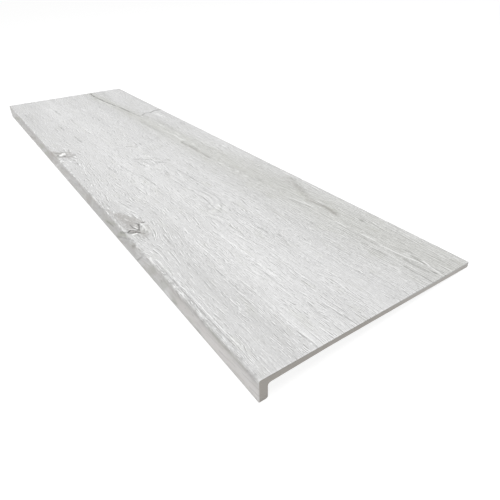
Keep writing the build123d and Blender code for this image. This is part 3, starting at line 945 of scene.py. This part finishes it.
class Finish:
    """A material under construction, with short calls for the nodes that it is made of."""

    def __init__(self, name):
        self.material = bpy.data.materials.new(name)
        self.material.use_nodes = True
        self.tree = self.material.node_tree
        self.surface = self.tree.nodes["Principled BSDF"]

    def feed(self, socket, value):
        """Links another node's output to the socket, or sets a constant on it."""
        if isinstance(value, bpy.types.NodeSocket):
            self.tree.links.new(value, socket)
        else:
            socket.default_value = value

    def add(self, kind, sockets=None, **settings):
        """A new node, with its settings made and its sockets fed."""
        node = self.tree.nodes.new("ShaderNode" + kind)
        for name, value in settings.items():
            setattr(node, name, value)
        for socket, value in (sockets or {}).items():
            self.feed(node.inputs[socket], value)
        return node

    def math(self, operation, a, b=0.0):
        """One step of arithmetic."""
        return self.add("Math", {0: a, 1: b}, operation=operation).outputs[0]

    def times(self, first, *others):
        """The product of the values."""
        product = first
        for other in others:
            product = self.math("MULTIPLY", product, other)
        return product

    def weighed(self, start, *terms):
        """start plus each value times its weight."""
        total = start
        for value, weight in terms:
            total = self.add("Math", {0: value, 1: weight, 2: total}, operation="MULTIPLY_ADD").outputs[0]
        return total

    def kept_within(self, value):
        """The value, kept from 0 to 1."""
        return self.math("MINIMUM", self.math("MAXIMUM", value, 0.0), 1.0)

    def between(self, value, low, high):
        """0 at low, 1 at high and smooth between them, whichever of the two is larger."""
        sockets = {"Value": value, "From Min": low, "From Max": high}
        return self.add("MapRange", sockets, interpolation_type="SMOOTHSTEP").outputs[0]

    def line(self, value, at, half):
        """1 near the contour where the value is at, and 0 at half away from it."""
        return self.between(self.math("ABSOLUTE", self.math("SUBTRACT", value, at)), half, 0.3 * half)

    def field(self, name):
        """A field that the mesh carries."""
        return self.add("Attribute", attribute_name=name).outputs["Vector"]

    def parts(self, vector):
        """The three parts of a vector."""
        return self.add("SeparateXYZ", {0: vector}).outputs

    def drawn_out(self, vector, length, width, shift=0.0):
        """The coordinates scaled so that one unit is this long along the grain and this wide across it."""
        sockets = {"Vector": vector, "Location": (shift, shift, shift), "Scale": (1 / length, 1 / width, 1.0)}
        return self.add("Mapping", sockets).outputs[0]

    def moved(self, vector, by, reach):
        """The coordinates moved about by a noise colour, at most half the reach each way."""
        half_back = tuple(-part / 2 for part in reach)
        start = self.add("VectorMath", {0: vector, 1: half_back}, operation="ADD").outputs[0]
        return self.add("VectorMath", {0: by, 1: reach, 2: start}, operation="MULTIPLY_ADD").outputs[0]

    def noise(self, vector, detail=2.0, scale=1.0, output="Fac"):
        """Smooth noise about 0.5, or three of them as a colour."""
        return self.add("TexNoise", {"Vector": vector, "Scale": scale, "Detail": detail}).outputs[output]

    def mixed(self, factor, a, b):
        """From colour a at 0 to colour b at 1."""
        node = self.add("Mix", data_type="RGBA")
        self.feed(node.inputs["Factor"], factor)
        self.feed(node.inputs["A"], a)
        self.feed(node.inputs["B"], b)
        return node.outputs["Result"]

    def strokes(self, name, fray, soft):
        """How strongly the marks of this name, drawn on the mesh, show at each point."""
        strongest = 0.0
        for number in range(len(in_layers(DRAWN_ON_MESH[name]))):
            field = self.field(f"{name}_{number}")
            _, _, strength = self.parts(field)
            flat = self.add("VectorMath", {0: field, 1: (1, 1, 0)}, operation="MULTIPLY").outputs[0]
            frayed = self.moved(flat, fray, MARK_FRAY)
            out = self.add("VectorMath", {0: frayed}, operation="LENGTH").outputs["Value"]
            here = self.times(self.between(out, 1 + soft, 1 - soft), strength)
            strongest = self.math("MAXIMUM", strongest, here)
        return strongest

    def dress(self, colour, roughness, height, strength):
        """Gives the surface its colour and roughness, and a fine bump from the height."""
        bump = self.add("Bump", {"Height": height, "Strength": strength, "Distance": BUMP_DISTANCE})
        self.feed(self.surface.inputs["Base Color"], colour)
        self.feed(self.surface.inputs["Roughness"], roughness)
        self.feed(self.surface.inputs["Normal"], bump.outputs[0])


def wavy_grain(finish, grain):
    """The grain's coordinates, with the fine lines of the wood swaying a little."""
    sway = finish.noise(finish.drawn_out(grain, 0.090, 0.026, 2.3), detail=1.0, output="Color")
    return finish.moved(grain, sway, (0.0, 0.010, 0.0))


def combed_lines(finish, grain, spacing, length, thin, cover):
    """Fine broken lines along the grain: how dark and how white they are at each point."""
    _, across, _ = finish.parts(grain)
    drift = finish.noise(finish.drawn_out(grain, length * 3, spacing * 5, spacing * 900), detail=1.0)
    phase = finish.math("FRACT", finish.weighed(200.0, (across, 1 / spacing), (drift, 3.0)))
    shown = finish.noise(finish.drawn_out(grain, length, spacing * 1.3, spacing * 500), detail=1.0)
    broken = finish.between(shown, 0.60 - cover, 0.68 - cover)
    dark = finish.times(finish.line(phase, 0.35, thin), broken)
    white = finish.times(finish.line(phase, 0.35 + 1.6 * thin, thin), broken)
    return dark, white


def chatter_marks(finish, grain):
    """Fine lines askew to the grain, where the saw has chattered over the wood."""
    turned = finish.add("Mapping", {"Vector": grain, "Rotation": (0, 0, CHATTER_TURN)}).outputs[0]
    return combed_lines(finish, turned, *CHATTER_LINES)


def wood_tone(finish, grain, stain, ripple, plain):
    """Tone and height of the fine wood figure. Tone 0 is plain washed oak, 1 limed white and -2 grey."""
    wavy = wavy_grain(finish, grain)
    cloud = finish.noise(finish.drawn_out(grain, 0.36, 0.034))
    streak = finish.noise(finish.drawn_out(grain, 0.45, 0.007, 3.1), detail=1.0)
    chalk = finish.noise(finish.drawn_out(grain, 0.0018, 0.0012, 23.5), detail=1.0)
    patch = finish.between(finish.noise(finish.drawn_out(grain, 0.13, 0.030, 5.9)), 0.36, 0.62)
    fine_dark, fine_white = combed_lines(finish, wavy, *FINE_LINES)
    mid_dark, mid_white = combed_lines(finish, wavy, *MID_LINES)
    bold_dark, bold_white = combed_lines(finish, wavy, *BOLD_LINES)
    long_dark, long_white = combed_lines(finish, grain, *STAIN_LINES)
    skew_dark, skew_white = chatter_marks(finish, grain)
    crispness, coarseness, _ = finish.parts(finish.field("fineness"))
    busy = finish.weighed(0.35, (patch, 0.85), (stain, 0.3))
    fine = finish.weighed(0.0, (fine_dark, -2.4), (fine_white, 2.4), (bold_dark, -1.3), (bold_white, 1.1))
    mid = finish.weighed(0.0, (mid_dark, -1.5), (mid_white, 1.2))
    skew = finish.weighed(0.0, (skew_dark, -0.5), (skew_white, 0.5))
    chalky = finish.math("SUBTRACT", chalk, 0.5)
    stained = finish.weighed(0.0, (long_dark, -3.1), (long_white, 2.5), (chalky, 2.6))
    tone = finish.weighed(
        -0.5 * (1.1 + 0.7 + 1.6),  # what the three noises add on average
        (cloud, 1.1), (streak, 0.7), (chalk, 1.6),
        (finish.times(fine, busy, finish.times(crispness, plain)), 1.0),
        (finish.times(mid, finish.times(coarseness, plain)), 1.0),
        (finish.times(skew, ripple), 1.0),
        (finish.times(stained, stain), 1.0),
    )
    height = finish.weighed(0.6, (fine_dark, -0.3), (bold_dark, -0.6), (bold_white, 0.2), (chalk, 0.4))
    return tone, height


def line_marks(finish, place):
    """How dark the long check and the butt joint are, how white the limed seam is, and the check's halo."""
    rough = finish.noise(finish.drawn_out(place, 0.010, 0.006))
    broken = finish.between(finish.noise(finish.drawn_out(place, 0.016, 0.0050, 4.4), detail=1.0), 0.36, 0.58)
    long_off, seam_off, joint_off = (
        finish.math("ABSOLUTE", finish.weighed(finish.math("SUBTRACT", off, 0.002), (rough, 0.004)))
        for off in finish.parts(finish.field("line_distance"))
    )
    long_strength, seam_strength, joint_strength = finish.parts(finish.field("line_strength"))
    worn = finish.times(long_strength, finish.weighed(0.15, (broken, 0.85)))
    check = finish.times(finish.between(long_off, 0.0026, 0.0004), worn)
    joint = finish.times(finish.between(joint_off, 0.0055, 0.0006), joint_strength)
    seam = finish.times(finish.between(seam_off, 0.0032, 0.0010), finish.times(seam_strength, broken))
    halo = finish.times(finish.between(long_off, 0.0090, 0.0), long_strength)
    return finish.math("MAXIMUM", check, joint), seam, halo


def nosing_wear(finish, place, over_nosing):
    """How the nosing's edge lightens or darkens the print, worn on its round and chipped beside it."""
    _, across, _ = finish.parts(place)
    chip = finish.noise(finish.drawn_out(place, 0.009, 0.005, 61.0))
    on_round = finish.times(over_nosing, finish.math("SUBTRACT", 1.0, over_nosing))
    worn = finish.times(on_round, finish.between(chip, 0.38, 0.62))
    off_edge = finish.math("ABSOLUTE", finish.math("SUBTRACT", across, NOSING_MIDDLE))
    light_chips, dark_chips = finish.between(chip, 0.53, 0.65), finish.between(chip, 0.47, 0.35)
    chips = finish.weighed(0.0, (light_chips, 1.1), (dark_chips, -1.1))
    ragged = finish.times(chips, finish.between(off_edge, 0.0065, 0.0015))
    return finish.weighed(ragged, (worn, -3.0))


def paint_wear(finish, place):
    """How much of the drawn strokes is left at each point."""
    left = finish.noise(finish.drawn_out(place, 0.008, 0.0022, 7.7), detail=1.0)
    return finish.between(left, 0.26, 0.52)


def wood_paint(finish, place, wear):
    """How strongly the brushed shade, ink and white show at each point."""
    shade, ink, white = finish.parts(finish.field("wood_paint"))
    mottle = finish.between(finish.noise(finish.drawn_out(place, 0.0045, 0.0020, 17.0)), 0.32, 0.62)
    broken = finish.weighed(0.55, (wear, 0.45))
    shade = finish.times(shade, finish.weighed(0.30, (mottle, 1.0)))
    return shade, finish.times(ink, broken), finish.times(white, broken)


def drawn_tone(finish, place, wear):
    """How the smears and the strokes of ink and lime, drawn one by one, darken or lighten the print."""
    fray = finish.noise(place, scale=260.0, output="Color")
    return finish.weighed(
        0.0,
        (finish.strokes("smears", fray, 0.8), -1.6),
        (finish.times(finish.strokes("ink_strokes", fray, 0.5), wear), -2.2),
        (finish.times(finish.strokes("lime_strokes", fray, 0.5), wear), 2.2),
    )


def oak_colour(finish, tone, stain, grain):
    """Washed oak, limed white above tone 0 and weathered grey below it, and olive where it is stained."""
    colour = finish.mixed(finish.kept_within(tone), WASHED_OAK, LIMED_GRAIN)
    colour = finish.mixed(finish.kept_within(finish.times(tone, -0.5)), colour, WEATHERED_GREY)
    tint = finish.between(finish.noise(finish.drawn_out(grain, 0.045, 0.014, 51.0)), 0.54, 0.70)
    return finish.mixed(finish.weighed(0.0, (stain, 0.34), (tint, 0.16)), colour, OLIVE_STAIN)


def lip_tinted(finish, colour, grain, over_nosing, wear):
    """The colour with the brown, olive and pink patches of the lip over it."""
    painted_olive, painted_brown, painted_pink = finish.parts(finish.field("lip_tint"))
    brown_cloud = finish.noise(finish.drawn_out(grain, 0.060, 0.012, 31.0))
    olive_cloud = finish.noise(finish.drawn_out(grain, 0.050, 0.016, 41.0), detail=1.0)
    brown = finish.weighed(0.12, (finish.between(brown_cloud, 0.36, 0.64), 0.26), (painted_brown, 0.26))
    olive = finish.weighed(0.0, (finish.between(olive_cloud, 0.50, 0.62), 0.15), (painted_olive, 0.75))
    pink = finish.times(painted_pink, finish.weighed(0.30, (wear, 0.40)))
    for shown, tint in ((brown, LIP_BROWN), (olive, OLIVE_STAIN), (pink, PINK_WASH)):
        colour = finish.mixed(finish.times(over_nosing, shown), colour, tint)
    return colour


def washed_oak_print():
    """Matt glaze printed as pale washed oak, with its checks, knots and pores pressed in."""
    finish = Finish("washed_oak_print")
    place, grain = finish.field("print_place"), finish.field("grain_place")
    along, _, _ = finish.parts(place)
    stain, light, ripple = finish.parts(finish.field("broad_tone"))
    pressed, over_nosing, knots = finish.parts(finish.field("pressed"))
    brushed_light, brushed_dark, _ = finish.parts(finish.field("brushed_tone"))
    lip_face = finish.between(over_nosing, 0.55, 1.0)
    # painted highlight: the print is made lighter along the bevel at each end of the tile
    painted_bevel_highlight = finish.between(finish.math("ABSOLUTE", along), LENGTH / 2 - 0.0016, LENGTH / 2 - 0.0006)
    wear = paint_wear(finish, place)
    shade, ink, white = wood_paint(finish, place, wear)
    check, seam, halo = line_marks(finish, place)
    plain = finish.weighed(1.0, (lip_face, -0.65), (knots, -0.5), (shade, -0.8))
    fine, height = wood_tone(finish, grain, stain, ripple, finish.math("MAXIMUM", plain, 0.15))
    tone = finish.weighed(
        fine,
        (pressed, -0.25), (light, 0.25), (stain, -0.25), (halo, -0.7), (seam, 2.0), (painted_bevel_highlight, 0.8),
        (lip_face, 0.30), (brushed_light, 1.0), (brushed_dark, -1.2), (shade, -2.0),
        (nosing_wear(finish, place, over_nosing), 1.0),
        (drawn_tone(finish, place, wear), 1.0),
    )
    colour = oak_colour(finish, tone, stain, grain)
    colour = lip_tinted(finish, colour, grain, over_nosing, wear)
    colour = finish.mixed(finish.times(shade, 0.35), colour, LIP_BROWN)
    colour = finish.mixed(finish.math("MAXIMUM", check, ink), colour, DARK_CHECK)
    colour = finish.mixed(white, colour, LIME_FILL)
    finish.dress(colour, finish.weighed(0.66, (height, -0.14), (pressed, 0.10)), height, 0.25)
    return finish.material


def kiln_dust(finish, height, at_end, cloud):
    """How much kiln wash clings to the back: patches on its lands, and little in its grooves."""
    on_back = finish.between(height, 0.0, -TREAD_THICKNESS)
    off_end = finish.weighed(1.0, (at_end, -1.0))
    grooves = finish.between(height, -TREAD_THICKNESS + 0.1 * KEY_DEPTH, -TREAD_THICKNESS + 0.6 * KEY_DEPTH)
    on_land = finish.weighed(1.0, (grooves, -0.75))
    return finish.times(on_back, off_end, on_land, finish.between(cloud, 0.36, 0.66))


def bare_porcelain():
    """The fired body where it shows: specked, ground smooth at the ends and dusted on the back."""
    finish = Finish("bare_porcelain")
    place = finish.field("body_place")
    along, across, height = finish.parts(place)
    speck = finish.noise(place, detail=1.0, scale=900.0)
    cloud = finish.noise(place, detail=3.0, scale=22.0)
    ground = finish.noise(finish.add("Mapping", {"Vector": place, "Scale": (60.0, 60.0, 1500.0)}).outputs[0])
    at_end = finish.between(finish.math("ABSOLUTE", along), LENGTH / 2 - 0.0012, LENGTH / 2 - 0.0006)
    # painted light: a ramp from front to rear that makes the bare body lighter toward the rear; it also places
    # the glaze run at the rear of the ends
    painted_light_rearward = finish.between(across, -0.03, 0.09)
    rear_of_end = finish.times(painted_light_rearward, at_end)
    front_of_end = finish.math("SUBTRACT", at_end, rear_of_end)
    glaze_run = finish.times(finish.between(height, -0.0020, -0.0014), rear_of_end)
    # painted shade: a dark band just under the top arris at the front of each end
    painted_arris_shade = finish.times(finish.between(height, -0.0022, -0.0008), front_of_end)
    dust = kiln_dust(finish, height, at_end, cloud)
    tone = finish.weighed(
        -0.70,
        (speck, 0.7), (cloud, 0.7), (finish.times(ground, at_end), 0.5), (at_end, -0.45), (painted_light_rearward, 0.90),
        (painted_arris_shade, -0.9),
    )
    colour = finish.mixed(finish.kept_within(tone), BARE_PORCELAIN, PALE_PORCELAIN)
    colour = finish.mixed(finish.kept_within(finish.times(tone, -1.0)), colour, DARK_PORCELAIN)
    colour = finish.mixed(finish.times(dust, 0.55), colour, KILN_WASH)
    colour = finish.mixed(glaze_run, colour, WASHED_OAK)
    roughness = finish.weighed(0.72, (speck, 0.12), (dust, 0.12))
    finish.dress(colour, roughness, finish.weighed(speck, (ground, 0.5)), 0.3)
    return finish.material


def tread_tile():
    """The dressed tile: pressed, eased, keyed, divided, printed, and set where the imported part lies."""
    bm = bmesh.new()
    press_blank(bm)
    ease_arrises(bm)
    key_the_back(bm)
    divide_print(bm)
    divide_again(bm)
    for face in bm.faces:
        face.material_index = 0 if is_printed(face) else 1
        face.smooth = True
    for edge in bm.edges:
        edge.smooth = edge.calc_face_angle(0.0) < SHARP_ANGLE
    bm.verts.index_update()
    printed = np.array([any(is_printed(face) for face in vert.link_faces) for vert in bm.verts])
    mesh = bpy.data.meshes.new("dressed_tread_tile")
    bm.to_mesh(mesh)
    bm.free()
    lay_bake_map(mesh)
    lay_print(mesh, printed)
    mesh.transform(where_it_lies())
    mesh.materials.append(washed_oak_print())
    mesh.materials.append(bare_porcelain())
    tile = bpy.data.objects.new("dressed_tread_tile", mesh)
    bpy.context.scene.collection.objects.link(tile)
    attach(tile, "root")
    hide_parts("stair_tread_tile")


def photo_camera():
    """The camera that looks at the tile as the photograph does."""
    level = cos(CAMERA_PITCH)
    ahead = Vector((-sin(CAMERA_YAW) * level, cos(CAMERA_YAW) * level, -sin(CAMERA_PITCH)))
    level_right = Vector((cos(CAMERA_YAW), sin(CAMERA_YAW), 0.0))
    level_up = level_right.cross(ahead)
    right = level_right * cos(CAMERA_ROLL) + level_up * sin(CAMERA_ROLL)
    up = right.cross(ahead)
    turn = Matrix((right, up, -ahead)).transposed().to_4x4()
    lens = bpy.data.cameras.new("photo_camera")
    lens.lens = CAMERA_LENS_MM
    lens.sensor_width = SENSOR_MM
    camera = bpy.data.objects.new("photo_camera", lens)
    camera.matrix_world = where_it_lies() @ Matrix.Translation(CAMERA_PLACE) @ turn
    bpy.context.scene.collection.objects.link(camera)
    bpy.context.scene.camera = camera


def seen_directly(tree):
    """1 for the rays that show the background: from the camera, and by way of gloss or glass."""
    path = tree.nodes.new("ShaderNodeLightPath")
    seen = path.outputs["Is Camera Ray"]
    for ray in ("Is Glossy Ray", "Is Transmission Ray"):
        either = tree.nodes.new("ShaderNodeMath")
        either.operation = "MAXIMUM"
        tree.links.new(seen, either.inputs[0])
        tree.links.new(path.outputs[ray], either.inputs[1])
        seen = either.outputs[0]
    return seen


def floor_finish():
    """White where the floor is seen, and plain pale where it throws light back."""
    finish = Finish("pale_floor")
    tree = finish.tree
    glow = finish.add("Emission", {"Color": WHITE, "Strength": FLOOR_GLOW})
    shaded = finish.add("BsdfDiffuse", {"Color": FLOOR_SEEN})
    white = finish.add("AddShader", {0: glow.outputs[0], 1: shaded.outputs[0]})
    plain = finish.add("BsdfDiffuse", {"Color": FLOOR_PALE})
    shown = finish.add("MixShader", {0: seen_directly(tree), 1: plain.outputs[0], 2: white.outputs[0]})
    tree.links.new(shown.outputs[0], tree.nodes["Material Output"].inputs["Surface"])
    tree.nodes.remove(finish.surface)
    return finish.material


def pale_floor():
    """The floor that the tile lies on, which belongs to the stage."""
    bm = bmesh.new()
    bmesh.ops.create_grid(bm, x_segments=1, y_segments=1, size=FLOOR_SIZE / 2)
    mesh = bpy.data.meshes.new("floor")
    bm.to_mesh(mesh)
    bm.free()
    mesh.materials.append(floor_finish())
    floor = bpy.data.objects.new("floor", mesh)
    bpy.context.scene.collection.objects.link(floor)


def studio_world():
    """White where the background is seen, and dimmer as a light."""
    world = bpy.data.worlds.new("studio")
    world.use_nodes = True
    tree = world.node_tree
    dim = tree.nodes["Background"]
    dim.inputs["Color"].default_value = WHITE
    dim.inputs["Strength"].default_value = AMBIENT
    white = tree.nodes.new("ShaderNodeBackground")
    white.inputs["Color"].default_value = WHITE
    white.inputs["Strength"].default_value = 1.0
    shown = tree.nodes.new("ShaderNodeMixShader")
    tree.links.new(seen_directly(tree), shown.inputs[0])
    tree.links.new(dim.outputs[0], shown.inputs[1])
    tree.links.new(white.outputs[0], shown.inputs[2])
    tree.links.new(shown.outputs[0], tree.nodes["World Output"].inputs["Surface"])
    bpy.context.scene.world = world


def softbox():
    """One broad soft light above the front of the tile."""
    light = bpy.data.lights.new("softbox", "AREA")
    light.energy = SOFTBOX_POWER
    light.size = SOFTBOX_SIZE
    lamp = bpy.data.objects.new("softbox", light)
    lamp.location = SOFTBOX_PLACE
    lamp.rotation_euler = (SOFTBOX_TILT, 0, 0)
    bpy.context.scene.collection.objects.link(lamp)


tread_tile()
photo_camera()
pale_floor()
studio_world()
softbox()
bpy.context.scene.view_settings.view_transform = "Standard"
